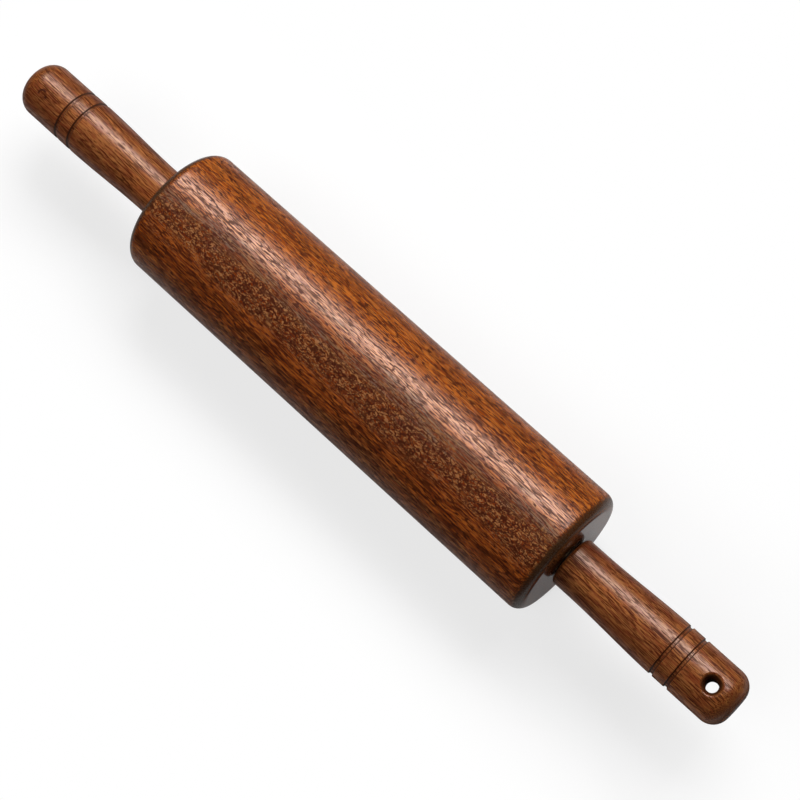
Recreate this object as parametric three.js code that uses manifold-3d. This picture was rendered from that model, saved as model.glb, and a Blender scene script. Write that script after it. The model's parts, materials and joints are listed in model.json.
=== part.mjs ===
// Wooden rolling pin: a bored barrel turns on two ball bearings round a stepped steel axle,
// and a turned handle screws onto each end of the axle through a brass insert.
// Millimetres, +Z up. The pin lies along X and rests on the plane z = 0, with the hang hole at the +X end.
import * as THREE from 'three';
import { mergeVertices } from 'three/addons/utils/BufferGeometryUtils.js';
import Module from 'manifold-3d';

const wasm = await Module();
wasm.setup();

// Barrel
const BARREL_DIAMETER = 66;
const BARREL_LENGTH = 250;
const BARREL_EDGE_RADIUS = 6;
const RELIEF_DEPTH = 1;
const BORE_CLEARANCE = 1;

// Handles
const HANDLE_LENGTH = 96.5;
const NECK_DIAMETER = 24.9;
const NECK_LENGTH = 10;
const NECK_EDGE_RADIUS = 2;
const BUTT_DIAMETER = 27.8;
const BUTT_LENGTH = 36;
const BUTT_EDGE_RADIUS = 8.5;

// Grooves turned in each handle, measured back from the butt end
const GROOVE_COUNT = 2;
const GROOVE_SETBACK = 28.5;
const GROOVE_SPACING = 8.5;
const GROOVE_MOUTH = 2;
const GROOVE_FLOOR = 1.2;
const GROOVE_DEPTH = 0.75;

// Hang hole through the right handle, flared at both mouths
const HOLE_DIAMETER = 6;
const HOLE_SETBACK = 13.6;
const HOLE_MOUTH = 11.6;
const HOLE_FLARE_DEPTH = 6;

// Ball bearings
const BEARING_BORE = 8;
const RING_WALL = 0.82;
const RACE_DEPTH = 0.3;
const BALL_DIAMETER = 2.2;
const BALL_COUNT = 7;
const CAGE_THICKNESS = 1;
const CAGE_WEB = 0.5;
const CAGE_REACH = 0.6;
const SHIELD_THICKNESS = 0.3;
const SHIELD_RECESS = 0.2;
const BEARING_RECESS = 2;

// Axle, spacers and inserts
const RUNNING_GAP = 0.8;
const AXLE_SHOULDER = 1;
const AXLE_CHAMFER = 0.8;
const STUD_OVERHANG = 3;
const SPACER_MARGIN = 0.3;
const INSERT_LENGTH = 18;
const INSERT_WALL = 2;
const FLANGE_RIM = 1.75;
const FLANGE_THICKNESS = 1.5;

// Clearances
const FIT_GAP = 0.15;
const RACE_CLEARANCE = 0.08;
const POCKET_CLEARANCE = 0.15;
const CAGE_CLEARANCE = 0.25;
const SHIELD_CLEARANCE = 0.3;
const STUD_CLEARANCE = 2;
const DRILL_OVERSHOOT = 1;

// Facets round each kind of piece, and steps along their curves
const BARREL_SIDES = 64;
const HANDLE_SIDES = 36;
const RING_SIDES = 30;
const BALL_SIDES = 8;
const BALL_RINGS = 6;
const HOLE_SIDES = 24;
const EDGE_STEPS = 4;
const BUTT_STEPS = 6;
const FLARE_STEPS = 7;
const RACE_STEPS = 4;
const WELD_TOLERANCE = 1e-4;

// Sizes that follow from the ones above
const ballRadius = BALL_DIAMETER / 2;
const pitchRadius = BEARING_BORE / 2 + RING_WALL + RACE_CLEARANCE + ballRadius;
const bearingRadius = pitchRadius + ballRadius + RACE_CLEARANCE + RING_WALL;
const innerLand = pitchRadius - ballRadius + RACE_DEPTH;
const outerLand = pitchRadius + ballRadius - RACE_DEPTH;
const cageBack = ballRadius + POCKET_CLEARANCE + CAGE_WEB;
const shieldFace = cageBack + CAGE_CLEARANCE;
const halfBearing = shieldFace + SHIELD_THICKNESS + SHIELD_RECESS;
const bearingCentre = -BEARING_RECESS - halfBearing;
const seatDepth = BEARING_RECESS + 2 * halfBearing + FIT_GAP;
const studRadius = BEARING_BORE / 2 - FIT_GAP;
const axleRadius = studRadius + AXLE_SHOULDER;
const insertBore = studRadius + FIT_GAP;
const insertRadius = insertBore + INSERT_WALL;
const flangeRadius = insertRadius + FLANGE_RIM;
const spacerStart = FIT_GAP - BEARING_RECESS;
const spacerLength = RUNNING_GAP - FIT_GAP - spacerStart;
const flareLength = HANDLE_LENGTH - NECK_LENGTH - BUTT_LENGTH;
const studReach = RUNNING_GAP + INSERT_LENGTH + STUD_OVERHANG;
const axisHeight = (BARREL_DIAMETER / 2) * Math.cos(Math.PI / BARREL_SIDES);

// Points on an arc, in the [along, radius] plane of a turned profile.
function arc(along, radius, size, fromDegrees, toDegrees, steps) {
  const points = [];
  for (let step = 0; step <= steps; step += 1) {
    const angle = THREE.MathUtils.degToRad(fromDegrees + ((toDegrees - fromDegrees) * step) / steps);
    points.push([along + size * Math.cos(angle), radius + size * Math.sin(angle)]);
  }
  return points;
}

// Share vertices and drop the triangles that collapse at a pole.
function welded(geometry) {
  geometry.deleteAttribute('normal');
  geometry.deleteAttribute('uv');
  const shared = mergeVertices(geometry, WELD_TOLERANCE);
  const kept = [];
  for (let corner = 0; corner < shared.index.count; corner += 3) {
    const triangle = [0, 1, 2].map((offset) => shared.index.getX(corner + offset));
    if (new Set(triangle).size === 3) kept.push(...triangle);
  }
  shared.setIndex(kept);
  return shared;
}

// Turn a profile of [along, radius] points round the X axis, with a flat facet facing down.
// The outer surface is drawn towards +X; a profile that leaves the axis closes on itself.
function turned(profile, sides) {
  const closed = profile[0][1] > 0 ? [...profile, profile[0]] : profile;
  const outline = closed.map(([along, radius]) => new THREE.Vector2(radius, along));
  const geometry = new THREE.LatheGeometry(outline, sides, Math.PI + Math.PI / sides);
  geometry.rotateZ(-Math.PI / 2);
  return welded(geometry);
}

// A plain turned ring with square edges.
function turnedRing(from, to, innerRadius, outerRadius, sides) {
  return turned([[from, innerRadius], [from, outerRadius], [to, outerRadius], [to, innerRadius]], sides);
}

function solidOf(geometry) {
  const mesh = new wasm.Mesh({
    numProp: 3,
    vertProperties: Float32Array.from(geometry.getAttribute('position').array),
    triVerts: Uint32Array.from(geometry.index.array),
  });
  return new wasm.Manifold(mesh);
}

function geometryOf(solid) {
  const mesh = solid.getMesh();
  const geometry = new THREE.BufferGeometry();
  geometry.setAttribute('position', new THREE.BufferAttribute(mesh.vertProperties, 3));
  geometry.setIndex(new THREE.BufferAttribute(mesh.triVerts, 1));
  return geometry;
}

function piece(name, geometry, material) {
  geometry.computeVertexNormals();
  const mesh = new THREE.Mesh(geometry, material());
  mesh.name = name;
  return mesh;
}

// Finishes, each made anew for the piece that wears it
function finish(color, roughness, metalness) {
  return new THREE.MeshStandardMaterial({ color, roughness, metalness });
}
const lacqueredWood = () => finish(0x6a3413, 0.35, 0);
const groundSteel = () => finish(0xb4b6b8, 0.3, 1);
const bearingSteel = () => finish(0xc4c6c9, 0.18, 1);
const turnedBrass = () => finish(0xc29a4a, 0.32, 1);
const mouldedNylon = () => finish(0xd9cfb4, 0.55, 0);
const blackNylon = () => finish(0x1b1b1d, 0.6, 0);

// The barrel: rounded end edges, a seat for a bearing in each end, a relief behind it and a through bore.
function barrelGeometry() {
  const half = BARREL_LENGTH / 2;
  const edge = BARREL_EDGE_RADIUS;
  const shoulder = BARREL_DIAMETER / 2 - edge;
  const seatRadius = bearingRadius + FIT_GAP;
  const bore = axleRadius + BORE_CLEARANCE;
  const seatFloor = half - seatDepth;
  const reliefFloor = seatFloor - RELIEF_DEPTH;
  return turned([
    [-half, seatRadius],
    ...arc(-half + edge, shoulder, edge, 180, 90, EDGE_STEPS),
    ...arc(half - edge, shoulder, edge, 90, 0, EDGE_STEPS),
    [half, seatRadius],
    [seatFloor, seatRadius],
    [seatFloor, outerLand],
    [reliefFloor, outerLand],
    [reliefFloor, bore],
    [-reliefFloor, bore],
    [-reliefFloor, outerLand],
    [-seatFloor, outerLand],
    [-seatFloor, seatRadius],
  ], BARREL_SIDES);
}

// The axle: full size between the bearings, stepped down to a seat and a chamfered stud at each end.
function axleGeometry() {
  const half = BARREL_LENGTH / 2;
  const shoulder = half - seatDepth;
  const tip = half + studReach;
  return turned([
    [-tip, 0],
    [-tip, studRadius - AXLE_CHAMFER],
    [-tip + AXLE_CHAMFER, studRadius],
    [-shoulder, studRadius],
    [-shoulder, axleRadius],
    [shoulder, axleRadius],
    [shoulder, studRadius],
    [tip - AXLE_CHAMFER, studRadius],
    [tip, studRadius - AXLE_CHAMFER],
    [tip, 0],
  ], RING_SIDES);
}

// Radius of the bare handle at a distance from its base: a straight neck, a soft flare, a straight butt.
function handleRadius(along) {
  const share = THREE.MathUtils.clamp((along - NECK_LENGTH) / flareLength, 0, 1);
  const ease = (1 - Math.cos(Math.PI * share)) / 2;
  return (NECK_DIAMETER + (BUTT_DIAMETER - NECK_DIAMETER) * ease) / 2;
}

// The corners of one groove, from its mouth to its floor and back.
function groove(centre) {
  const corners = [
    [-GROOVE_MOUTH / 2, 0],
    [-GROOVE_FLOOR / 2, GROOVE_DEPTH],
    [GROOVE_FLOOR / 2, GROOVE_DEPTH],
    [GROOVE_MOUTH / 2, 0],
  ];
  return corners.map(([offset, depth]) => [centre + offset, handleRadius(centre + offset) - depth]);
}

// The outer surface of a handle, from the edge of its base to the rounded butt.
function handleSurface() {
  const grooves = [];
  for (let count = 0; count < GROOVE_COUNT; count += 1) {
    grooves.push(HANDLE_LENGTH - GROOVE_SETBACK - count * GROOVE_SPACING);
  }
  const surface = grooves.flatMap(groove);
  for (let step = 0; step <= FLARE_STEPS; step += 1) {
    const along = NECK_LENGTH + (flareLength * step) / FLARE_STEPS;
    const inGroove = grooves.some((centre) => Math.abs(along - centre) <= GROOVE_MOUTH / 2);
    if (!inGroove) surface.push([along, handleRadius(along)]);
  }
  surface.sort((one, other) => one[0] - other[0]);
  const base = NECK_EDGE_RADIUS;
  const butt = BUTT_EDGE_RADIUS;
  return [
    ...arc(base, NECK_DIAMETER / 2 - base, base, 180, 90, EDGE_STEPS),
    ...surface,
    ...arc(HANDLE_LENGTH - butt, BUTT_DIAMETER / 2 - butt, butt, 90, 0, BUTT_STEPS),
  ];
}

// A handle with its base at x = 0: a stepped blind bore holds the insert and clears the stud.
function handleGeometry() {
  const recess = flangeRadius + FIT_GAP;
  const socket = insertRadius + FIT_GAP;
  const recessFloor = FLANGE_THICKNESS + FIT_GAP;
  const socketFloor = INSERT_LENGTH + FIT_GAP;
  const studBore = studRadius + FIT_GAP;
  const boreEnd = INSERT_LENGTH + STUD_OVERHANG + STUD_CLEARANCE;
  return turned([
    [boreEnd, 0],
    [boreEnd, studBore],
    [socketFloor, studBore],
    [socketFloor, socket],
    [recessFloor, socket],
    [recessFloor, recess],
    [0, recess],
    ...handleSurface(),
    [HANDLE_LENGTH, 0],
  ], HANDLE_SIDES);
}

// The drill that cuts the hang hole and flares both of its mouths, standing along Z.
function hangHoleDrill() {
  const bore = HOLE_DIAMETER / 2;
  const flareStart = BUTT_DIAMETER / 2 - HOLE_FLARE_DEPTH;
  const end = BUTT_DIAMETER / 2 + DRILL_OVERSHOOT;
  const slope = (HOLE_MOUTH / 2 - bore) / HOLE_FLARE_DEPTH;
  const tip = bore + slope * (end - flareStart);
  const drill = turned([
    [-end, 0],
    [-end, tip],
    [-flareStart, bore],
    [flareStart, bore],
    [end, tip],
    [end, 0],
  ], HOLE_SIDES);
  drill.rotateY(-Math.PI / 2);
  drill.translate(HANDLE_LENGTH - HOLE_SETBACK, 0, 0);
  return drill;
}

function drilledHandleGeometry() {
  return geometryOf(solidOf(handleGeometry()).subtract(solidOf(hangHoleDrill())));
}

// A flanged insert whose flange lies flush with the handle's base.
function insertGeometry() {
  return turned([
    [0, insertBore],
    [0, flangeRadius],
    [FLANGE_THICKNESS, flangeRadius],
    [FLANGE_THICKNESS, insertRadius],
    [INSERT_LENGTH, insertRadius],
    [INSERT_LENGTH, insertBore],
  ], RING_SIDES);
}

// A sleeve that bridges the running gap, from the bearing's inner ring to the insert.
function spacerGeometry() {
  return turnedRing(0, spacerLength, insertBore, innerLand - SPACER_MARGIN, RING_SIDES);
}

// Half the angle that a race wraps round a ball, where its arc meets the land beside it.
function raceHalfAngle() {
  const landOffset = ballRadius - RACE_DEPTH;
  return THREE.MathUtils.radToDeg(Math.acos(landOffset / (ballRadius + RACE_CLEARANCE)));
}

// The rings of a bearing are centred on x = 0, each with a race cut in its land.
function outerRingGeometry() {
  const wrap = raceHalfAngle();
  return turned([
    [-halfBearing, outerLand],
    [-halfBearing, bearingRadius],
    [halfBearing, bearingRadius],
    [halfBearing, outerLand],
    ...arc(0, pitchRadius, ballRadius + RACE_CLEARANCE, 90 - wrap, 90 + wrap, RACE_STEPS),
  ], RING_SIDES);
}

function innerRingGeometry() {
  const wrap = raceHalfAngle();
  return turned([
    [-halfBearing, BEARING_BORE / 2],
    [-halfBearing, innerLand],
    ...arc(0, pitchRadius, ballRadius + RACE_CLEARANCE, 270 - wrap, 270 + wrap, RACE_STEPS),
    [halfBearing, innerLand],
    [halfBearing, BEARING_BORE / 2],
  ], RING_SIDES);
}

function shieldGeometry() {
  const outer = outerLand - FIT_GAP;
  return turnedRing(0, SHIELD_THICKNESS, innerLand + SHIELD_CLEARANCE, outer, RING_SIDES);
}

function ballGeometry(radius) {
  return welded(new THREE.SphereGeometry(radius, BALL_SIDES, BALL_RINGS));
}

// Places of the balls round the bearing's axis.
function ballCentres() {
  const centres = [];
  for (let count = 0; count < BALL_COUNT; count += 1) {
    const angle = (2 * Math.PI * count) / BALL_COUNT;
    centres.push(new THREE.Vector3(0, pitchRadius * Math.cos(angle), pitchRadius * Math.sin(angle)));
  }
  return centres;
}

// The crown cage: a ring with a pocket round each ball, open on the side away from its web.
function cageGeometry() {
  const inner = pitchRadius - CAGE_THICKNESS / 2;
  const outer = pitchRadius + CAGE_THICKNESS / 2;
  let cage = solidOf(turnedRing(-CAGE_REACH, cageBack, inner, outer, RING_SIDES));
  for (const centre of ballCentres()) {
    const pocket = ballGeometry(ballRadius + POCKET_CLEARANCE);
    pocket.translate(centre.x, centre.y, centre.z);
    cage = cage.subtract(solidOf(pocket));
  }
  return geometryOf(cage);
}

// One bearing, centred on x = 0.
function bearing(side) {
  const group = new THREE.Group();
  group.add(piece(`${side}_outer_ring`, outerRingGeometry(), bearingSteel));
  group.add(piece(`${side}_inner_ring`, innerRingGeometry(), bearingSteel));
  group.add(piece(`${side}_cage`, cageGeometry(), mouldedNylon));
  ballCentres().forEach((centre, index) => {
    const ball = piece(`${side}_ball_${index + 1}`, ballGeometry(ballRadius), bearingSteel);
    ball.position.copy(centre);
    group.add(ball);
  });
  const outerShield = piece(`${side}_outer_shield`, shieldGeometry(), groundSteel);
  outerShield.position.x = shieldFace;
  const innerShield = piece(`${side}_inner_shield`, shieldGeometry(), groundSteel);
  innerShield.position.x = -shieldFace - SHIELD_THICKNESS;
  group.add(outerShield, innerShield);
  return group;
}

// What sits at one end of the barrel, drawn outwards from the barrel's end face at x = 0.
function endFittings(side, handleShape) {
  const group = new THREE.Group();
  const ballBearing = bearing(side);
  ballBearing.position.x = bearingCentre;
  const spacer = piece(`${side}_spacer`, spacerGeometry(), blackNylon);
  spacer.position.x = spacerStart;
  const insert = piece(`${side}_insert`, insertGeometry(), turnedBrass);
  insert.position.x = RUNNING_GAP;
  const handle = piece(`${side}_handle`, handleShape, lacqueredWood);
  handle.position.x = RUNNING_GAP;
  group.add(ballBearing, spacer, insert, handle);
  return group;
}

const rollingPin = new THREE.Group();
rollingPin.position.z = axisHeight;
rollingPin.add(piece('barrel', barrelGeometry(), lacqueredWood));
rollingPin.add(piece('axle', axleGeometry(), groundSteel));

const rightEnd = endFittings('right', drilledHandleGeometry());
rightEnd.position.x = BARREL_LENGTH / 2;
const leftEnd = endFittings('left', handleGeometry());
leftEnd.position.x = -BARREL_LENGTH / 2;
leftEnd.rotation.z = Math.PI;
rollingPin.add(rightEnd, leftEnd);

export default rollingPin;
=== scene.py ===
import json
import math

import bpy
from mathutils import Color, Matrix, Vector


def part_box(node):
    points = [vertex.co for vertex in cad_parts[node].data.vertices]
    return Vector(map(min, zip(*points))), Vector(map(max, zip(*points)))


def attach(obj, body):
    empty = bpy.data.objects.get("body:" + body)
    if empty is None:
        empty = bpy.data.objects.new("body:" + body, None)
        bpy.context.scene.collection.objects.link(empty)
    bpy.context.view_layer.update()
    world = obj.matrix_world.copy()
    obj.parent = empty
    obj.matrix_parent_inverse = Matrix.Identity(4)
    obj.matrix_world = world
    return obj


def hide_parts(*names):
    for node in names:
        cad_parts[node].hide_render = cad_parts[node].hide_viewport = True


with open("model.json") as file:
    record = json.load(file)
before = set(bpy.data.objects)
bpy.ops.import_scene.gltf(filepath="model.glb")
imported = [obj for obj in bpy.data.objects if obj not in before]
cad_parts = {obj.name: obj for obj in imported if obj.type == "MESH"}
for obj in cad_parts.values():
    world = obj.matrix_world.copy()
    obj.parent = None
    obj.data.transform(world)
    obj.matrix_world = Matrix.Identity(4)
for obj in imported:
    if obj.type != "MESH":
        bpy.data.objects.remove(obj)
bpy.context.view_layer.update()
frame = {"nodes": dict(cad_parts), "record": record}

# Places taken from the frame, in metres
barrel_low, barrel_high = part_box("barrel")
handle_low, handle_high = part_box("right_handle")
AXIS_HEIGHT = (barrel_low.z + barrel_high.z) / 2
BARREL_RADIUS = (barrel_high.z - barrel_low.z) / 2
BARREL_END = barrel_high.x
HANDLE_BASE = handle_low.x
HANDLE_END = handle_high.x

# Barrel
BARREL_EDGE = 0.006
SEAT_RADIUS = 0.00815
SEAT_DEPTH = 0.00715
RELIEF_RADIUS = 0.0068
RELIEF_DEPTH = 0.001
BORE_RADIUS = 0.00585

# Handles, measured from the base
NECK_RADIUS = 0.01245
NECK_LENGTH = 0.010
NECK_EDGE = 0.002
BUTT_RADIUS = 0.0139
BUTT_LENGTH = 0.036
BUTT_EDGE = 0.0085
RECESS_RADIUS = 0.0079
RECESS_DEPTH = 0.00165
SOCKET_RADIUS = 0.00615
SOCKET_DEPTH = 0.01815
STUD_BORE_RADIUS = 0.004
STUD_BORE_DEPTH = 0.023

# Grooves and hang hole, measured back from the butt end
GROOVE_COUNT = 2
GROOVE_SETBACK = 0.0285
GROOVE_SPACING = 0.0085
GROOVE_MOUTH = 0.002
GROOVE_FLOOR = 0.0012
GROOVE_DEPTH = 0.00075
HOLE_RADIUS = 0.003
HOLE_SETBACK = 0.0136
HOLE_FLARE = 0.0028
HOLE_FLARE_DEPTH = 0.006
HOLE_FLARE_DEGREES = 75

# Small knot on the left butt, measured back from its end and aside from its top
KNOT_SETBACK = 0.0135
KNOT_ASIDE = -0.0034
KNOT_RADIUS = 0.0018
KNOT_LINE = 0.0007
KNOT_SIDE = Vector((-1, 1, 0))
KNOT_DOT = Vector((0.0026, -0.0003, 0))
KNOT_DOT_RADIUS = 0.0011

# Fineness of the turned meshes
TURN_STEPS = 160
EDGE_STEPS = 10
FLARE_STEPS = 24
BUTT_STEP = 0.0005
LIP_EASE = 0.00015
LIP_SEGMENTS = 2
SEED_SIZE = 0.00015
MERGE_DISTANCE = 1e-6
SMOOTH_ANGLE = math.radians(40)
FLAT_WEIGHT = 100

# What follows from these sizes: also the room kept clear beside a groove's middle, and how deep the
# hang hole's flare and how wide its bare wood reach
HANDLE_LENGTH = HANDLE_END - HANDLE_BASE
FLARE_LENGTH = HANDLE_LENGTH - NECK_LENGTH - BUTT_LENGTH
GROOVE_CLEAR = GROOVE_MOUTH * 0.6
HOLE_PLACE = HANDLE_END - HOLE_SETBACK
HOLE_FLARE_START = BUTT_RADIUS - 1.01 * HOLE_FLARE_DEPTH
HOLE_BARE_RADIUS = HOLE_RADIUS + 0.3 * HOLE_FLARE
PIN_CENTRE = Vector((0, 0, AXIS_HEIGHT))


def start_clean():
    """Nothing selected, so that the next operator acts only on its own piece."""
    if bpy.context.mode != "OBJECT":
        bpy.ops.object.mode_set(mode="OBJECT")
    bpy.ops.object.select_all(action="DESELECT")


def only(piece):
    """Selects one piece and makes it the active one."""
    start_clean()
    piece.select_set(True)
    bpy.context.view_layer.objects.active = piece


def apply_modifier(piece, kind, **settings):
    """Adds a modifier to a piece and applies it at once."""
    only(piece)
    modifier = piece.modifiers.new(kind.title(), kind)
    for name, value in settings.items():
        setattr(modifier, name, value)
    bpy.ops.object.modifier_apply(modifier=modifier.name)


def arc(along, radius, size, start, end):
    """Points of a round stretch of a turned profile, with angles in degrees."""
    points = []
    for step in range(EDGE_STEPS + 1):
        angle = math.radians(start + (end - start) * step / EDGE_STEPS)
        points.append((along + size * math.cos(angle), radius + size * math.sin(angle)))
    return points


def turned(name, profile):
    """Draws a profile of (along, radius) points from one seed and spins it round the pin's axis."""
    start_clean()
    places = [PIN_CENTRE + Vector((along, 0, radius)) for along, radius in profile]
    bpy.ops.mesh.primitive_plane_add(size=SEED_SIZE, location=places[0])
    piece = bpy.context.active_object
    piece.name = name
    piece.data.name = name
    bpy.ops.object.mode_set(mode="EDIT")
    bpy.ops.mesh.select_all(action="SELECT")
    bpy.ops.mesh.merge(type="CENTER")
    for before, after in zip(places, places[1:]):
        bpy.ops.mesh.extrude_region_move(TRANSFORM_OT_translate={"value": after - before})
    bpy.ops.mesh.select_all(action="SELECT")
    bpy.ops.mesh.spin(steps=TURN_STEPS, angle=2 * math.pi, center=PIN_CENTRE, axis=(1, 0, 0))
    bpy.ops.mesh.select_all(action="SELECT")
    bpy.ops.mesh.remove_doubles(threshold=MERGE_DISTANCE)
    bpy.ops.mesh.normals_make_consistent(inside=False)
    bpy.ops.object.mode_set(mode="OBJECT")
    bpy.ops.object.transform_apply(location=True, rotation=True, scale=True)
    return piece


def smooth(piece):
    """Shades a piece smooth between its sharp edges, with its flat stretches kept true."""
    only(piece)
    bpy.ops.object.shade_smooth_by_angle(angle=SMOOTH_ANGLE)
    apply_modifier(
        piece, "WEIGHTED_NORMAL", mode="FACE_AREA", weight=FLAT_WEIGHT, keep_sharp=True
    )


def ease_lips(piece):
    """Rounds the sharp edges that a turning tool leaves."""
    apply_modifier(
        piece,
        "BEVEL",
        width=LIP_EASE,
        segments=LIP_SEGMENTS,
        limit_method="ANGLE",
        angle_limit=SMOOTH_ANGLE,
    )


def make_barrel():
    """The roller: rounded ends, a bearing seat in each end and a bore right through."""
    seat_floor = BARREL_END - SEAT_DEPTH
    relief_floor = seat_floor - RELIEF_DEPTH
    shoulder = BARREL_RADIUS - BARREL_EDGE
    half = [
        (relief_floor, BORE_RADIUS),
        (relief_floor, RELIEF_RADIUS),
        (seat_floor, RELIEF_RADIUS),
        (seat_floor, SEAT_RADIUS),
        (BARREL_END, SEAT_RADIUS),
        *arc(BARREL_END - BARREL_EDGE, shoulder, BARREL_EDGE, 0, 90),
    ]
    other_half = [(-along, radius) for along, radius in reversed(half)]
    barrel = turned("turned_barrel", [*half, *other_half, half[0]])
    ease_lips(barrel)
    smooth(barrel)
    return barrel


def handle_radius(along):
    """Radius of the bare handle: a straight neck, a soft flare and a straight butt."""
    share = min(max((along - NECK_LENGTH) / FLARE_LENGTH, 0), 1)
    ease = (1 - math.cos(math.pi * share)) / 2
    return NECK_RADIUS + (BUTT_RADIUS - NECK_RADIUS) * ease


def groove_centres():
    """Distances of the grooves from the handle's base."""
    first = HANDLE_LENGTH - GROOVE_SETBACK
    return [first - count * GROOVE_SPACING for count in range(GROOVE_COUNT)]


def groove(centre):
    """The corners of one groove, from its mouth to its floor and back."""
    corners = [
        (-GROOVE_MOUTH / 2, 0),
        (-GROOVE_FLOOR / 2, GROOVE_DEPTH),
        (GROOVE_FLOOR / 2, GROOVE_DEPTH),
        (GROOVE_MOUTH / 2, 0),
    ]
    return [(centre + offset, handle_radius(centre + offset) - depth) for offset, depth in corners]


def handle_surface():
    """The outside of a handle from the edge of its base to the middle of its butt."""
    flare = [NECK_LENGTH + FLARE_LENGTH * step / FLARE_STEPS for step in range(FLARE_STEPS)]
    butt_start = HANDLE_LENGTH - BUTT_LENGTH
    butt_straight = BUTT_LENGTH - BUTT_EDGE
    butt_count = round(butt_straight / BUTT_STEP)
    butt = [butt_start + butt_straight * step / butt_count for step in range(butt_count)]
    surface = []
    for along in flare + butt:
        if all(abs(along - centre) > GROOVE_CLEAR for centre in groove_centres()):
            surface.append((along, handle_radius(along)))
    for centre in groove_centres():
        surface += groove(centre)
    return [
        *arc(NECK_EDGE, NECK_RADIUS - NECK_EDGE, NECK_EDGE, 180, 90),
        *sorted(surface),
        *arc(HANDLE_LENGTH - BUTT_EDGE, BUTT_RADIUS - BUTT_EDGE, BUTT_EDGE, 90, 0),
        (HANDLE_LENGTH, 0),
    ]


def make_handle():
    """The right handle before it is drilled, bored for its brass insert and the axle's stud."""
    profile = [
        (STUD_BORE_DEPTH, 0),
        (STUD_BORE_DEPTH, STUD_BORE_RADIUS),
        (SOCKET_DEPTH, STUD_BORE_RADIUS),
        (SOCKET_DEPTH, SOCKET_RADIUS),
        (RECESS_DEPTH, SOCKET_RADIUS),
        (RECESS_DEPTH, RECESS_RADIUS),
        (0, RECESS_RADIUS),
        *handle_surface(),
    ]
    placed = [(HANDLE_BASE + along, radius) for along, radius in profile]
    handle = turned("turned_right_handle", placed)
    ease_lips(handle)
    return handle


def turn_round(piece):
    """Turns a piece half a turn about the upright line through the middle of the pin."""
    only(piece)
    piece.rotation_euler = (0, 0, math.pi)
    bpy.ops.object.transform_apply(location=True, rotation=True, scale=True)


def hole_flare():
    """Profile of a mouth of the hang hole, which rounds over and then runs straight out."""
    flare = []
    for step in range(EDGE_STEPS + 1):
        angle = math.radians(HOLE_FLARE_DEGREES * step / EDGE_STEPS)
        rise = BUTT_RADIUS - HOLE_FLARE_DEPTH * (1 - math.sin(angle))
        flare.append((rise, HOLE_RADIUS + HOLE_FLARE * (1 - math.cos(angle))))
    rise, radius = flare[-1]
    slope = HOLE_FLARE / HOLE_FLARE_DEPTH * math.tan(math.radians(HOLE_FLARE_DEGREES))
    flare.append((rise + HOLE_FLARE, radius + HOLE_FLARE * slope))
    return flare


def follow_butt(cutter):
    """Sinks the ends of an upright cutter, so that its flares follow the round of the butt."""
    for vertex in cutter.data.vertices:
        rise = vertex.co.z - AXIS_HEIGHT
        if abs(rise) > HOLE_FLARE_START:
            sink = BUTT_RADIUS - math.sqrt(BUTT_RADIUS ** 2 - vertex.co.y ** 2)
            vertex.co.z -= math.copysign(sink, rise)


def hole_cutter():
    """A drill for the hang hole, with a flare for each of its mouths."""
    flare = hole_flare()
    other_flare = [(-rise, radius) for rise, radius in reversed(flare)]
    ends = (other_flare[0][0], 0), (flare[-1][0], 0)
    cutter = turned("hang_hole_cutter", [ends[0], *other_flare, *flare, ends[1]])
    only(cutter)
    stand_up = Matrix.Rotation(-math.pi / 2, 4, "Y")
    to_hole = Matrix.Translation((HOLE_PLACE, 0, AXIS_HEIGHT))
    cutter.matrix_world = to_hole @ stand_up @ Matrix.Translation(-PIN_CENTRE)
    bpy.ops.object.transform_apply(location=True, rotation=True, scale=True)
    follow_butt(cutter)
    return cutter


def drill_hang_hole(handle):
    """Cuts the hang hole through a handle's butt."""
    cutter = hole_cutter()
    apply_modifier(handle, "BOOLEAN", operation="DIFFERENCE", solver="EXACT", object=cutter)
    only(cutter)
    bpy.ops.object.delete()


def make_handles():
    """Both handles: one is modelled and copied, and the right one is drilled."""
    right = make_handle()
    only(right)
    bpy.ops.object.duplicate()
    left = bpy.context.active_object
    left.name = "turned_left_handle"
    left.data.name = left.name
    turn_round(left)
    drill_hang_hole(right)
    smooth(left)
    smooth(right)
    return left, right


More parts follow.
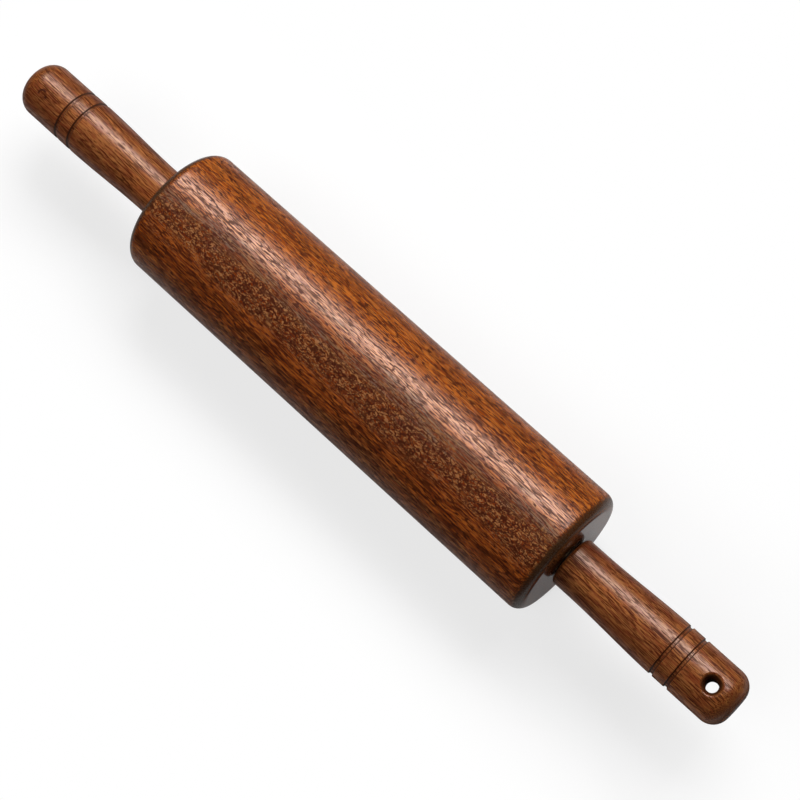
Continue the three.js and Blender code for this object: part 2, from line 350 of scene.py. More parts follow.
class Nodes:
    """A tree of shader nodes, with the steps that the finishes and the room share."""

    def __init__(self, tree):
        self.tree = tree

    def add(self, kind, inputs=None, **settings):
        """Adds a node, with inputs given by name or number as a value or another node's output."""
        node = self.tree.nodes.new(kind)
        for name, value in settings.items():
            setattr(node, name, value)
        for name, value in (inputs or {}).items():
            self.feed(node.inputs[name], value)
        return node

    def feed(self, socket, value):
        """Links an output to a socket, or sets a plain value on it."""
        if isinstance(value, bpy.types.NodeSocket):
            self.tree.links.new(value, socket)
        else:
            socket.default_value = value

    def cells(self, vector, size, turn=(0, 0, 0)):
        """Coordinates counted in cells of a size in metres, centred on the pin's axis."""
        inputs = {"Vector": vector, "Location": PIN_CENTRE, "Rotation": turn, "Scale": size}
        return self.add("ShaderNodeMapping", inputs, vector_type="TEXTURE").outputs[0]

    def noise(self, vector, detail=2.0, roughness=0.5, distortion=0.0, output="Fac"):
        """Soft lumps, about one to each cell of the coordinates, with finer detail on them."""
        inputs = {"Vector": vector, "Scale": 1.0, "Detail": detail, "Roughness": roughness}
        inputs["Distortion"] = distortion
        return self.add("ShaderNodeTexNoise", inputs).outputs[output]

    def band(self, value, start, end, low=0.0, high=1.0):
        """Eases from low to high as a value goes from start to end."""
        inputs = {0: value, 1: start, 2: end, 3: low, 4: high}
        node = self.add("ShaderNodeMapRange", inputs, interpolation_type="SMOOTHSTEP")
        return node.outputs[0]

    def between(self, value, rise, fall):
        """A share that eases in over one span of a value and out again over another."""
        return self.sum("MULTIPLY", self.band(value, *rise), self.band(value, *fall))

    def sum(self, operation, first, second=0.0, third=0.0):
        """A sum with up to three numbers."""
        inputs = {0: first, 1: second, 2: third}
        return self.add("ShaderNodeMath", inputs, operation=operation).outputs[0]

    def vector_sum(self, operation, *vectors, output="Vector"):
        """A sum with up to three vectors, whose result is a vector or a single value."""
        inputs = dict(enumerate(vectors))
        return self.add("ShaderNodeVectorMath", inputs, operation=operation).outputs[output]

    def axes(self, vector):
        """The X, Y and Z of a vector, by name."""
        return self.add("ShaderNodeSeparateXYZ", {0: vector}).outputs

    def ramp(self, value, stops):
        """Colours along a value, given as (place, colour) stops."""
        node = self.add("ShaderNodeValToRGB", {0: value})
        elements = node.color_ramp.elements
        while len(elements) < len(stops):
            elements.new(0.5)
        for element, (place, colour) in zip(elements, stops):
            element.position = place
            element.color = (*colour, 1.0)
        return node.outputs[0]

    def tint(self, share, first, second):
        """Blends a second colour into a first one, on the mix node's sockets for colours."""
        node = self.add("ShaderNodeMix", data_type="RGBA")
        sockets = (node.inputs[0], node.inputs[6], node.inputs[7])
        for socket, value in zip(sockets, (share, first, second)):
            self.feed(socket, (*value, 1.0) if isinstance(value, tuple) else value)
        return node.outputs[2]

    def tint_value(self, share, first, second):
        """Blends a second number into a first one, on the mix node's sockets for numbers."""
        return self.add("ShaderNodeMix", {0: share, 2: first, 3: second}).outputs[0]


class Finish(Nodes):
    """A procedural material."""

    def __init__(self, name):
        self.material = bpy.data.materials.new(name)
        self.material.use_nodes = True
        super().__init__(self.material.node_tree)
        self.shader = self.tree.nodes["Principled BSDF"]
        self.place = self.add("ShaderNodeTexCoord").outputs["Object"]

    def set(self, name, value):
        """Feeds one of the shader's own inputs."""
        self.feed(self.shader.inputs[name], value)

    def bump(self, height, depth):
        """Roughens the surface by a height that counts in steps of a depth in metres."""
        inputs = {"Height": height, "Distance": depth}
        self.set("Normal", self.add("ShaderNodeBump", inputs).outputs[0])


def alike(value):
    """One value three times, as for a cube's sides or a grey."""
    return value, value, value


def shade(red, green, blue):
    """A colour given as it shows on a screen, from 0 to 255."""
    shown = Color((red / 255, green / 255, blue / 255))
    return tuple(shown.from_srgb_to_scene_linear())


# Colours of the wood
AMBER = shade(150, 82, 26)
CHESTNUT = shade(148, 82, 34)
ASH = shade(104, 71, 45)
GREY = shade(98, 72, 56)
HAZEL = shade(98, 58, 28)
WALNUT = shade(100, 50, 19)
RUSSET = shade(152, 77, 22)
COCOA = shade(134, 81, 38)
SPECK = shade(172, 118, 70)
UMBER = shade(104, 36, 6)
PORE = shade(52, 15, 2)
# Colour of the grooves: partly real burn lines, partly painted shade in the groove
GROOVE_BURN_AND_SHADE = shade(62, 27, 9)
# Dark of cut grain: partly real stain, partly painted shade on the rounded ends
STAIN_AND_SHADE = shade(44, 28, 13)
# Near-black for painted shade down the hang hole and on the bare wood in bores
HOLLOW_SHADE = shade(30, 15, 8)
GLOSS_TINT = (1.0, 0.93, 0.83)

# Colours across the barrel's log, at places counted in barrel radii from its heart
BARREL_LAYERS = [
    (-0.72, COCOA),
    (-0.52, RUSSET),
    (-0.28, RUSSET),
    (-0.14, WALNUT),
    (0.02, WALNUT),
    (0.14, HAZEL),
    (0.28, ASH),
    (0.42, CHESTNUT),
    (0.62, CHESTNUT),
    (0.76, AMBER),
]

# Spans across the barrel's log, also in radii: where its curly and greyed bands start and end, and
# where its lines turn coarse
CURLY_START = (-0.38, -0.08)
CURLY_END = (0.34, 0.1)
GREYED_START = (0.0, 0.16)
GREYED_END = (0.42, 0.28)
COARSE_START = (-0.1, -0.3)

# Colours of the handles, along their broad tones
HANDLE_TONES = [(0.3, WALNUT), (0.56, COCOA), (0.7, CHESTNUT)]

# How the log lies in the barrel and in the handles, as turns about X, Y and Z, and how far its
# grain sways
BARREL_LIE = (math.radians(12), 0, math.radians(-2))
HANDLE_LIE = (math.radians(-20), 0, math.radians(-2))
BARREL_SWAY = 0.0018
HANDLE_SWAY = 0.0006

# Cells of the wood's features, in metres along X, Y and Z
DRIFT_CELL = (0.05, 0.015, 0.015)
CROWD_CELL = (0.02, 0.004, 0.004)
LAYER_CELL = (0.1, 0.0016, 0.006)
FIBRE_CELL = (0.009, 0.0005, 0.0005)
PATCH_CELL = (0.03, 0.006, 0.006)
CLOUD_CELL = (0.02, 0.004, 0.004)
TONE_CELL = (0.09, 0.006, 0.012)
PALE_CURL_CELL = (0.0029, 0.0016, 0.0016)
DARK_CURL_CELL = (0.0027, 0.0018, 0.0018)

# Dark marks along the grain: cell, levels where a mark starts and is full, and finer detail
BARREL_DASHES = ((0.0034, 0.00045, 0.00045), 0.55, 0.58, 0.0)
BARREL_LINES = ((0.014, 0.00048, 0.00048), 0.56, 0.59, 1.0)
BARREL_BANDS = ((0.018, 0.0006, 0.0006), 0.56, 0.59, 1.0)
HANDLE_LINES = ((0.02, 0.00045, 0.00045), 0.55, 0.64, 1.0)
HANDLE_DASHES = ((0.0038, 0.00042, 0.00042), 0.56, 0.61, 0.0)

# How strongly each feature shows
PATCH_SHIFT = 0.6
CROWDING = 0.2
LAYER_ROUGHNESS = 0.6
LAYER_CONTRAST = 0.6
LAYER_TONE = 0.85
FIBRE_LEVELS = (0.46, 0.56)
FIBRE_SHARE = 0.75
CLOUD_LEVELS = (0.48, 0.62)
CURL_TWIST = 0.6
CURL_EDGE = (0.07, 0.045)
PALE_CURL_SHARE = 0.5
LINE_SHARE = 0.85
DASH_SHARE = 0.8

# Spans of how squarely a face cuts across the grain: where it darkens with stain and painted shade,
# where its marks fade and where it counts as an end. The last pair is the share of its marks before
# and after they fade
STAIN_AND_SHADE_CUT = (0.22, 0.55)
FADE_CUT = (0.3, 0.8)
END_CUT = (0.8, 0.97)
MARKS_FADE = (0.92, 0.3)

# Share of darkening that the wood takes on where it is cut across the grain, partly real stain and
# partly painted shade on the rounded ends, and how much of that a flat end keeps
BARREL_STAIN_AND_SHADE = 0.85
HANDLE_STAIN_AND_SHADE = 0.2
END_STAIN_AND_SHADE = 0.4

# Lacquer: its roughness on the wood, in the marks and on the ends, its sheen beside and in the marks
# with the levels of a mark over which that changes, its refractive index and how far marks sink
BARREL_GLOSS = 0.25
HANDLE_GLOSS = 0.3
MARK_GLOSS = 0.4
END_GLOSS = 0.12
DEEP_MARK = 0.9
SHEEN_START = 0.2
SHEEN = 0.5
MARK_SHEEN = 0.15
LACQUER_INDEX = 1.45
MARK_DEPTH = 0.00001

# Bare wood in bores and holes, darkened towards near-black as painted shade
BARE_PAINTED_SHADE = 0.8
BARE_ROUGHNESS = (0.8, 1.0)
BARE_SHEEN = 0.05

# Darkness in and beside a groove, by the distance from its middle: partly real burn lines, partly
# painted shade on its walls and floor
GROOVE_RIM = (GROOVE_MOUTH * 0.62, GROOVE_MOUTH * 0.5)
GROOVE_FOOT = (GROOVE_FLOOR * 0.3, GROOVE_FLOOR * 0.55)
GROOVE_FLOOR_SHARE = 0.35

# Painted shade down in the hang hole, by the distance from its middle line
HOLE_SHADE_SPAN = (HOLE_RADIUS + 0.8 * HOLE_FLARE, HOLE_RADIUS + 0.2 * HOLE_FLARE)


def unslanted(lie):
    """How a log would lie without its slant to the pin's axis."""
    return lie[0], 0, 0


def wobbled(finish, sway):
    """Coordinates that wander a little, mostly aside, so that no line of grain is straight."""
    drift = finish.noise(finish.cells(finish.place, DRIFT_CELL), output="Color")
    return finish.vector_sum("MULTIPLY_ADD", drift, (sway / 3, sway, sway), finish.place)


def across_log(finish, grain, lie):
    """Distance from the heart of the log, across its layers, in barrel radii."""
    place = finish.cells(grain, alike(BARREL_RADIUS), unslanted(lie))
    return finish.axes(place)["Y"]


def streaks(finish, grain, lie, cell, start, end, detail):
    """Dark marks drawn out along the grain, eased from none to full and crowded in places."""
    field = finish.noise(finish.cells(grain, cell, lie), detail)
    crowd = finish.noise(finish.cells(grain, CROWD_CELL, lie), 1.0)
    field = finish.sum("SUBTRACT", field, CROWDING / 2)
    return finish.band(finish.sum("MULTIPLY_ADD", crowd, CROWDING, field), start, end)


def curls(finish, grain, lie, cell):
    """Thin lines that wind in small curls: the level lines of a field of cells."""
    field = finish.noise(finish.cells(grain, cell, lie), 1.0, distortion=CURL_TWIST)
    return finish.band(finish.sum("ABSOLUTE", finish.sum("SUBTRACT", field, 0.5)), *CURL_EDGE)


def cut_across(finish):
    """How squarely a face cuts across the grain: none along it, one on an end."""
    normal = finish.add("ShaderNodeTexCoord").outputs["Normal"]
    return finish.sum("ABSOLUTE", finish.axes(normal)["X"])


def shaded(finish, colour, grain, lie):
    """Lightens and darkens a colour in growth layers, with darker fibres in it."""
    layers = finish.cells(grain, LAYER_CELL, unslanted(lie))
    layers = finish.noise(layers, roughness=LAYER_ROUGHNESS)
    fibres = finish.noise(finish.cells(grain, FIBRE_CELL, lie), 1.0)
    tone = finish.sum("MULTIPLY_ADD", layers, LAYER_CONTRAST, LAYER_TONE)
    toned = finish.add("ShaderNodeVectorMath", {0: colour, "Scale": tone}, operation="SCALE")
    darkened = finish.band(fibres, *FIBRE_LEVELS, 0.0, FIBRE_SHARE)
    return finish.tint(darkened, toned.outputs[0], UMBER)


def lacquer(finish, colour, marks, roughness, stain_and_shade):
    """Semi-gloss lacquer sinking into the wood's marks, over cut grain with stain and painted shade.
    """
    cut = cut_across(finish)
    ends = finish.band(cut, *END_CUT)
    marks = finish.sum("MULTIPLY", marks, finish.band(cut, *FADE_CUT, *MARKS_FADE))
    colour = finish.tint(marks, colour, PORE)
    # Cut grain darkens: partly real stain, partly painted shade on the rounded ends
    kept = finish.band(ends, 0.0, 1.0, 1.0, END_STAIN_AND_SHADE)
    stained_and_shaded = finish.sum("MULTIPLY", finish.band(cut, *STAIN_AND_SHADE_CUT, 0.0, stain_and_shade), kept)
    finish.set("Base Color", finish.tint(stained_and_shaded, colour, STAIN_AND_SHADE))
    gloss = finish.band(marks, 0.0, DEEP_MARK, roughness, MARK_GLOSS)
    finish.set("Roughness", finish.tint_value(ends, gloss, END_GLOSS))
    finish.set("IOR", LACQUER_INDEX)
    sheen = finish.band(marks, SHEEN_START, DEEP_MARK, SHEEN, MARK_SHEEN)
    finish.set("Specular IOR Level", sheen)
    finish.set("Specular Tint", (*GLOSS_TINT, 1))
    sunk = finish.sum("MULTIPLY", marks, finish.sum("SUBTRACT", ends, 1.0))
    finish.bump(sunk, MARK_DEPTH)
    return finish.material


def across_barrel(finish, grain):
    """Distance across the barrel's log, which wanders from patch to patch."""
    patches = finish.noise(finish.cells(grain, PATCH_CELL, unslanted(BARREL_LIE)))
    shift = finish.sum("MULTIPLY_ADD", patches, PATCH_SHIFT, -PATCH_SHIFT / 2)
    return finish.sum("ADD", shift, across_log(finish, grain, BARREL_LIE))


def barrel_ground(finish, grain, across):
    """Colours of the barrel's layers, with grey clouds on some of them."""
    stops = [((place + 1) / 2, colour) for place, colour in BARREL_LAYERS]
    ground = finish.ramp(finish.sum("MULTIPLY_ADD", across, 0.5, 0.5), stops)
    clouds = finish.noise(finish.cells(grain, CLOUD_CELL, unslanted(BARREL_LIE)), 1.0)
    greyed = finish.between(across, GREYED_START, GREYED_END)
    greyed = finish.sum("MULTIPLY", greyed, finish.band(clouds, *CLOUD_LEVELS))
    return finish.tint(greyed, ground, GREY)


def barrel_marks(finish, grain, across, curly):
    """Dark marks of the barrel: dashes and lines, coarse on one side, and curls in one band."""
    dashes = streaks(finish, grain, BARREL_LIE, *BARREL_DASHES)
    lines = streaks(finish, grain, BARREL_LIE, *BARREL_LINES)
    bands = streaks(finish, grain, BARREL_LIE, *BARREL_BANDS)
    fine = finish.sum("MAXIMUM", dashes, finish.sum("MULTIPLY", lines, LINE_SHARE))
    coarse = finish.sum("MAXIMUM", fine, finish.sum("MULTIPLY", bands, LINE_SHARE))
    marks = finish.tint_value(finish.band(across, *COARSE_START), fine, coarse)
    dark_curls = curls(finish, grain, BARREL_LIE, DARK_CURL_CELL)
    curled = finish.sum("MAXIMUM", dark_curls, finish.sum("MULTIPLY", dashes, DASH_SHARE))
    return finish.tint_value(curly, marks, curled)


def barrel_wood():
    """The roller's wood: coloured layers with dark marks, and pale and dark curls in one band."""
    finish = Finish("barrel_wood")
    grain = wobbled(finish, BARREL_SWAY)
    across = across_barrel(finish, grain)
    colour = shaded(finish, barrel_ground(finish, grain, across), grain, BARREL_LIE)
    curly = finish.between(across, CURLY_START, CURLY_END)
    pale_curls = curls(finish, grain, BARREL_LIE, PALE_CURL_CELL)
    pale = finish.sum("MULTIPLY", pale_curls, finish.sum("MULTIPLY", curly, PALE_CURL_SHARE))
    colour = finish.tint(pale, colour, SPECK)
    marks = barrel_marks(finish, grain, across, curly)
    return lacquer(finish, colour, marks, BARREL_GLOSS, BARREL_STAIN_AND_SHADE)


def groove_burn_and_shade(finish):
    """Dark walls and dimmer floors of the grooves, partly burn lines and partly painted shade."""
    along = finish.sum("ABSOLUTE", finish.axes(finish.place)["X"])
    dark = 0.0
    for centre in groove_centres():
        apart = finish.sum("ABSOLUTE", finish.sum("SUBTRACT", along, HANDLE_BASE + centre))
        inside = finish.band(apart, *GROOVE_RIM)
        wall = finish.sum("MULTIPLY", inside, finish.band(apart, *GROOVE_FOOT))
        floor = finish.sum("MULTIPLY", inside, GROOVE_FLOOR_SHARE)
        dark = finish.sum("ADD", dark, finish.sum("MAXIMUM", wall, floor))
    return dark


def hole_painted_shade(finish):
    """Painted shade down in the hang hole, by the distance from its middle line."""
    from_middle = finish.vector_sum("SUBTRACT", finish.place, (HOLE_PLACE, 0, 0))
    level = finish.vector_sum("MULTIPLY", from_middle, (1, 1, 0))
    apart = finish.vector_sum("LENGTH", level, output="Value")
    return finish.band(apart, *HOLE_SHADE_SPAN)


def handle_grain(finish):
    """Colour and dark marks of the handles: broad tones with long lines and fine dashes."""
    grain = wobbled(finish, HANDLE_SWAY)
    tones = finish.noise(finish.cells(grain, TONE_CELL, unslanted(HANDLE_LIE)))
    colour = shaded(finish, finish.ramp(tones, HANDLE_TONES), grain, HANDLE_LIE)
    lines = streaks(finish, grain, HANDLE_LIE, *HANDLE_LINES)
    dashes = streaks(finish, grain, HANDLE_LIE, *HANDLE_DASHES)
    return colour, finish.sum("MAXIMUM", lines, finish.sum("MULTIPLY", dashes, DASH_SHARE))


def knot(finish):
    """A small dark knot on the left butt: a hooked line beside a dot."""
    rise = math.sqrt(BUTT_RADIUS ** 2 - KNOT_ASIDE ** 2)
    middle = PIN_CENTRE + Vector((KNOT_SETBACK - HANDLE_END, KNOT_ASIDE, rise))
    beside = finish.vector_sum("SUBTRACT", finish.place, middle)
    reach = finish.vector_sum("LENGTH", beside, output="Value")
    ring = finish.sum("ABSOLUTE", finish.sum("SUBTRACT", reach, KNOT_RADIUS))
    line = finish.band(ring, KNOT_LINE, KNOT_LINE / 2)
    side = finish.vector_sum("DOT_PRODUCT", beside, KNOT_SIDE, output="Value")
    hook = finish.sum("MULTIPLY", line, finish.band(side, 0.0, KNOT_LINE))
    apart = finish.vector_sum("DISTANCE", beside, KNOT_DOT, output="Value")
    return finish.sum("MAXIMUM", hook, finish.band(apart, KNOT_DOT_RADIUS, KNOT_DOT_RADIUS / 2))


def handle_wood():
    """The handles' wood: a knot, grooves with burn lines and painted shade, painted shade in the
    hang hole.
    """
    finish = Finish("handle_wood")
    colour, marks = handle_grain(finish)
    # Grooves: partly burn lines, partly painted shade
    colour = finish.tint(groove_burn_and_shade(finish), colour, GROOVE_BURN_AND_SHADE)
    colour = finish.tint(knot(finish), colour, PORE)
    # Painted shade down in the hang hole
    colour = finish.tint(hole_painted_shade(finish), colour, HOLLOW_SHADE)
    return lacquer(finish, colour, marks, HANDLE_GLOSS, HANDLE_STAIN_AND_SHADE)


def shaded_bare_wood():
    """Bare wood in bores and holes, without gloss, darkened as painted shade."""
    finish = Finish("shaded_bare_wood")
    colour, marks = handle_grain(finish)
    # Painted shade: the bare wood is darkened most of the way to near-black
    finish.set("Base Color", finish.tint(BARE_PAINTED_SHADE, colour, HOLLOW_SHADE))
    finish.set("Roughness", finish.band(marks, 0.0, 1.0, *BARE_ROUGHNESS))
    finish.set("Specular IOR Level", BARE_SHEEN)
    return finish.material


# Metals: colours and roughness between which their lathe marks vary, and the marks' pitch and depth
METALS = {
    "axle_steel": {
        "colours": (shade(176, 178, 180), shade(208, 209, 210)),
        "roughness": (0.24, 0.42),
        "pitch": 0.0004,
        "depth": 0.00001,
    },
    "bearing_steel": {
        "colours": (shade(204, 206, 208), shade(222, 223, 225)),
        "roughness": (0.08, 0.2),
        "pitch": 0.0002,
        "depth": 0.000002,
    },
    "insert_brass": {
        "colours": (shade(180, 140, 70), shade(212, 174, 98)),
        "roughness": (0.22, 0.4),
        "pitch": 0.0005,
        "depth": 0.00001,
    },
}
SMEAR_CELL = (0.004, 0.003, 0.003)

# Plastics: colours along their marks, roughness between which they vary, and sizes of their marks
SPACER_COLOURS = [(0.35, shade(22, 22, 23)), (0.65, shade(32, 32, 34))]
SPACER_ROUGHNESS = (0.6, 0.8)
SPACER_PITCH = 0.0004
CAGE_COLOURS = [(0.35, shade(214, 204, 176)), (0.65, shade(228, 220, 196))]
CAGE_ROUGHNESS = (0.42, 0.6)
CAGE_MOTTLE = 0.0015
CAGE_GRAIN = 0.0003
PLASTIC_DEPTH = 0.00001

# Detail of the marks on metals and plastics, and the levels between which most of them lie
FINE_DETAIL = 3.0
FINE_ROUGHNESS = 0.6
FINE_SPAN = (0.3, 0.7)


def turning_marks(finish, pitch):
    """Fine rings that a lathe leaves round the pin's axis."""
    place = finish.axes(finish.cells(finish.place, alike(pitch)))
    across = finish.add("ShaderNodeCombineXYZ", {"Y": place["Y"], "Z": place["Z"]}).outputs[0]
    radius = finish.vector_sum("LENGTH", across, output="Value")
    rings = finish.add("ShaderNodeCombineXYZ", {"X": place["X"], "Y": radius}).outputs[0]
    return finish.noise(rings, FINE_DETAIL, FINE_ROUGHNESS)


def turned_metal(name, colours, roughness, pitch, depth):
    """Metal with lathe marks in its colour, gloss and surface."""
    finish = Finish(name)
    rings = turning_marks(finish, pitch)
    smears = finish.noise(finish.cells(finish.place, SMEAR_CELL), FINE_DETAIL)
    finish.set("Base Color", finish.tint(finish.band(rings, *FINE_SPAN), *colours))
    gloss = finish.sum("MULTIPLY_ADD", smears, 0.5, finish.sum("MULTIPLY", rings, 0.5))
    finish.set("Roughness", finish.band(gloss, *FINE_SPAN, *roughness))
    finish.set("Metallic", 1.0)
    finish.bump(rings, depth)
    return finish.material


def spacer_nylon():
    """Turned black nylon, dull and faintly ringed."""
    finish = Finish("spacer_nylon")
    rings = turning_marks(finish, SPACER_PITCH)
    finish.set("Base Color", finish.ramp(rings, SPACER_COLOURS))
    finish.set("Roughness", finish.band(rings, *FINE_SPAN, *SPACER_ROUGHNESS))
    finish.bump(rings, PLASTIC_DEPTH)
    return finish.material


def cage_nylon():
    """Moulded natural nylon, faintly mottled."""
    finish = Finish("cage_nylon")
    mottle = finish.noise(finish.cells(finish.place, alike(CAGE_MOTTLE)), FINE_DETAIL)
    finish.set("Base Color", finish.ramp(mottle, CAGE_COLOURS))
    finish.set("Roughness", finish.band(mottle, *FINE_SPAN, *CAGE_ROUGHNESS))
    finish.bump(finish.noise(finish.cells(finish.place, alike(CAGE_GRAIN))), PLASTIC_DEPTH)
    return finish.material


def dress(piece, material):
    """Gives a piece one material."""
    piece.data.materials.clear()
    piece.data.materials.append(material)


def dress_inside(piece, material, inside):
    """Gives the faces inside a piece a material of their own."""
    piece.data.materials.append(material)
    last_slot = len(piece.data.materials) - 1
    for face in piece.data.polygons:
        if inside(face.center):
            face.material_index = last_slot


def from_axis(place):
    """Distance of a place from the pin's axis."""
    return math.hypot(place.y, place.z - AXIS_HEIGHT)


def in_barrel_bore(place):
    """Whether a place is in the barrel's bore or in a bearing seat."""
    return from_axis(place) < SEAT_RADIUS + LIP_EASE


def in_handle_base(place):
    """Whether a place is in a handle's socket or on the flat base round it."""
    near_base = abs(place.x) < HANDLE_BASE + SOCKET_DEPTH
    return near_base and from_axis(place) < NECK_RADIUS - NECK_EDGE


def in_hang_hole(place):
    """Whether a place is down in the hang hole."""
    return math.hypot(place.x - HOLE_PLACE, place.y) < HOLE_BARE_RADIUS


def in_handle(place):
    """Whether a place is in any hole of a handle."""
    return in_handle_base(place) or in_hang_hole(place)


# Camera, from the photograph's viewing angle
LENS = 94.2
SIGHT_DISTANCE = 0.9556
SIGHT_ANGLE = math.radians(75.165)
SIDE_LEAN = math.radians(3)
ROLL = math.radians(41.874)
AIM_RIGHT = 0.01564
AIM_DOWN = 0.01079


def make_camera():
    """A long lens that looks down on the pin from beyond its drilled end, rolled to one side."""
    lean = Matrix.Rotation(SIDE_LEAN, 3, "X")
    back = lean @ Vector((math.cos(SIGHT_ANGLE), 0, math.sin(SIGHT_ANGLE)))
    along = lean @ Vector((math.sin(SIGHT_ANGLE), 0, -math.cos(SIGHT_ANGLE)))
    across = lean @ Vector((0, 1, 0))
    right = math.cos(ROLL) * along + math.sin(ROLL) * across
    up = math.cos(ROLL) * across - math.sin(ROLL) * along
    place = PIN_CENTRE + SIGHT_DISTANCE * back + AIM_RIGHT * right - AIM_DOWN * up
    bpy.ops.object.camera_add(location=place)
    camera = bpy.context.active_object
    camera.rotation_euler = Matrix((right, up, back)).transposed().to_euler()
    camera.data.lens = LENS
    bpy.context.scene.camera = camera


# Floor: its shade to the eye, the light that it throws back, and its share of white by the pin
FLOOR_SIZE = 60
FLOOR_DROP = 0.0002
FLOOR_ROUGHNESS = 0.9
FLOOR_SHADE = 0.8
FLOOR_BOUNCE = 0.38
FLOOR_WHITE = 0.7

# Spans along the pin and aside from it over which the floor turns all white
WHITE_ALONG = (0.17, 0.3)
WHITE_ASIDE = (0.045, 0.1)

# How the lacquer mirrors the floor: a share of white and a shade by the pin, and a dim shade
# elsewhere
MIRRORED_WHITE = 0.1
MIRRORED_NEAR = 0.45
MIRRORED_DIM = 0.1

# Spans where the mirrored floor turns dim: aside from the pin, and along and aside under a handle,
# where the dimness is painted shade for the handle's shadow seen in reflections
BEYOND = (0.05, 0.11)
UNDER_ALONG = (0.136, 0.15)
UNDER_ASIDE = (0.045, 0.03)

# Lamps: sizes and places in metres, powers in watts
KEY_SIZE = (1.0, 0.5)
KEY_PLACE = PIN_CENTRE + Vector((-0.16, 0.74, 0.77))
KEY_POWER = 16.8
STRIP_SIZE = (1.4, 0.5)
STRIP_PLACE = PIN_CENTRE + Vector((-0.24, 0.66, 0.88))
STRIP_AIM = PIN_CENTRE + Vector((-0.2, 0, 0))
STRIP_POWER = 25.5
FILL_SIZE = (2.2, 2.2)
FILL_PLACE = PIN_CENTRE + Vector((-0.7, -1.1, 1.6))
FILL_POWER = 25.5

# Light of the room, and how much brighter it is mirrored
ROOM = 0.03
ROOM_MIRRORED = 0.05


def make_light(name, size, place, aim, power):
    """A soft rectangular lamp aimed at a point."""
    bpy.ops.object.light_add(type="AREA", location=place)
    lamp = bpy.context.active_object
    lamp.name = name
    lamp.rotation_euler = (aim - place).to_track_quat("-Z", "Y").to_euler()
    lamp.data.shape = "RECTANGLE"
    lamp.data.size, lamp.data.size_y = size
    lamp.data.energy = power
    return lamp


def make_lights():
    """A soft box and a strip for the gloss on the far side, and a broad fill on the near side."""
    key = make_light("soft_box", KEY_SIZE, KEY_PLACE, PIN_CENTRE, KEY_POWER)
    key.visible_glossy = False
    strip = make_light("gloss_strip", STRIP_SIZE, STRIP_PLACE, STRIP_AIM, STRIP_POWER)
    strip.visible_diffuse = False
    fill = make_light("fill", FILL_SIZE, FILL_PLACE, PIN_CENTRE, FILL_POWER)
    fill.visible_glossy = False


def make_world():
    """A room that looks white to the eye, but gives little light and mirrors dimly."""
    world = bpy.data.worlds.new("studio")
    world.use_nodes = True
    bpy.context.scene.world = world
    nodes = Nodes(world.node_tree)
    path = nodes.add("ShaderNodeLightPath").outputs
    seen = nodes.sum("ADD", path["Is Camera Ray"], path["Is Transmission Ray"])
    mirrored = nodes.sum("MULTIPLY_ADD", path["Is Glossy Ray"], ROOM_MIRRORED, seen)
    level = nodes.add("ShaderNodeMapRange", {"Value": mirrored, "To Min": ROOM})
    background = nodes.tree.nodes["Background"]
    nodes.feed(background.inputs["Color"], (1, 1, 1, 1))
    nodes.feed(background.inputs["Strength"], level.outputs[0])


def floor_dimness(finish, along, aside):
    """Where the mirrored floor is dim: away from the pin, and under its handles as painted shade."""
    # Painted shade: the handle's shadow on the floor, as seen in reflections
    under = finish.band(aside, *UNDER_ASIDE)
    under = finish.sum("MULTIPLY", under, finish.band(along, *UNDER_ALONG))
    return finish.sum("MAXIMUM", finish.band(aside, *BEYOND), under)


def floor_whiteness(finish, along, aside):
    """Share of plain white that the floor shows to the eye, which is full away from the pin."""
    far = finish.sum("MAXIMUM", finish.band(along, *WHITE_ALONG), finish.band(aside, *WHITE_ASIDE))
    return finish.tint_value(far, FLOOR_WHITE, 1.0)


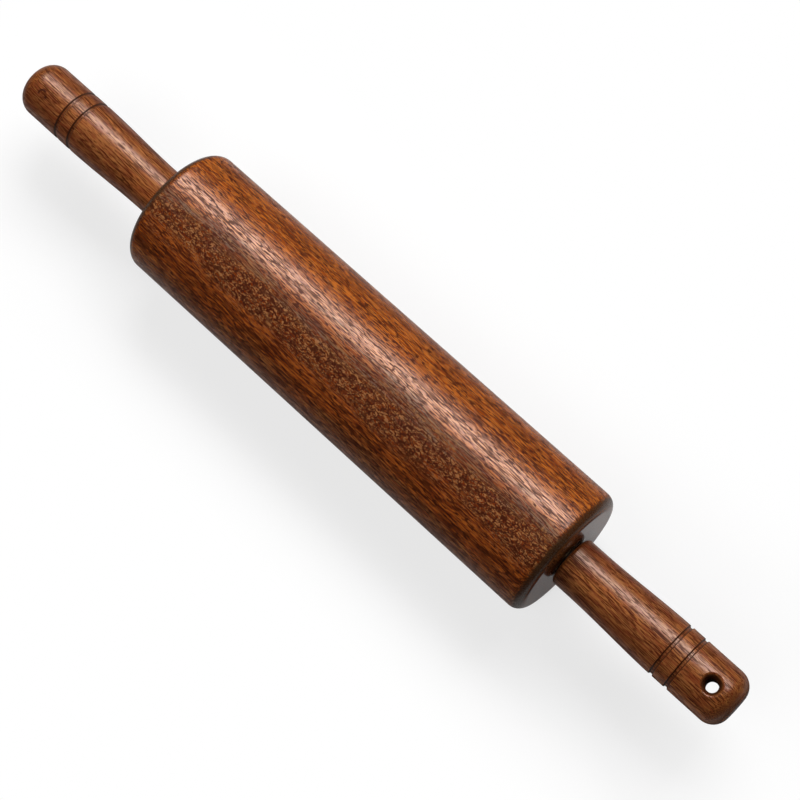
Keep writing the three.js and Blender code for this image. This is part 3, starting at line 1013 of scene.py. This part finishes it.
def floor_material():
    """A pale floor that reads white to the eye and keeps the pin's shadow.

    It throws less light back at the pin, and mirrors dimly away from the pin and under its handles,
    where the dimness is painted shade.
    """
    finish = Finish("pale_floor")
    finish.set("Roughness", FLOOR_ROUGHNESS)
    finish.set("Specular IOR Level", 0.0)
    path = finish.add("ShaderNodeLightPath").outputs
    seen = path["Is Camera Ray"]
    mirrored = finish.sum("ADD", path["Is Glossy Ray"], path["Is Transmission Ray"])
    place = finish.axes(finish.place)
    along = finish.sum("ABSOLUTE", place["X"])
    aside = finish.sum("ABSOLUTE", place["Y"])
    dim = floor_dimness(finish, along, aside)
    mirror = finish.tint(dim, alike(MIRRORED_NEAR), alike(MIRRORED_DIM))
    bounce = finish.tint(mirrored, alike(FLOOR_BOUNCE), mirror)
    finish.set("Base Color", finish.tint(seen, bounce, alike(FLOOR_SHADE)))
    white = finish.sum("MULTIPLY", seen, floor_whiteness(finish, along, aside))
    pale = finish.sum("MULTIPLY", mirrored, finish.band(dim, 0.0, 1.0, MIRRORED_WHITE, 0.0))
    share = finish.sum("ADD", white, pale)
    glow = finish.add("ShaderNodeEmission", {"Strength": 1.0}).outputs[0]
    mix = finish.add("ShaderNodeMixShader", {0: share, 1: finish.shader.outputs[0], 2: glow})
    finish.feed(finish.tree.nodes["Material Output"].inputs["Surface"], mix.outputs[0])
    return finish.material


def make_floor():
    """A wide floor just under the pin, outside the part itself."""
    start_clean()
    bpy.ops.mesh.primitive_plane_add(size=FLOOR_SIZE, location=(0, 0, -FLOOR_DROP))
    floor = bpy.context.active_object
    floor.name = "floor"
    dress(floor, floor_material())


make_camera()
make_world()
make_floor()
make_lights()

inside_finish = shaded_bare_wood()

barrel = make_barrel()
dress(barrel, barrel_wood())
dress_inside(barrel, inside_finish, in_barrel_bore)
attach(barrel, "roller")
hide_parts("barrel")

left_handle, right_handle = make_handles()
handle_finish = handle_wood()
for handle, node in ((left_handle, "left_handle"), (right_handle, "right_handle")):
    dress(handle, handle_finish)
    dress_inside(handle, inside_finish, in_handle)
    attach(handle, "handle_frame")
    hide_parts(node)

node_finishes = {name: turned_metal(name, **look) for name, look in METALS.items()}
node_finishes["cage_nylon"] = cage_nylon()
node_finishes["spacer_nylon"] = spacer_nylon()
for subpart in frame["record"]["subparts"]:
    if subpart["material_slot"] in node_finishes:
        dress(frame["nodes"][subpart["node"]], node_finishes[subpart["material_slot"]])

bpy.context.scene.view_settings.view_transform = "Standard"
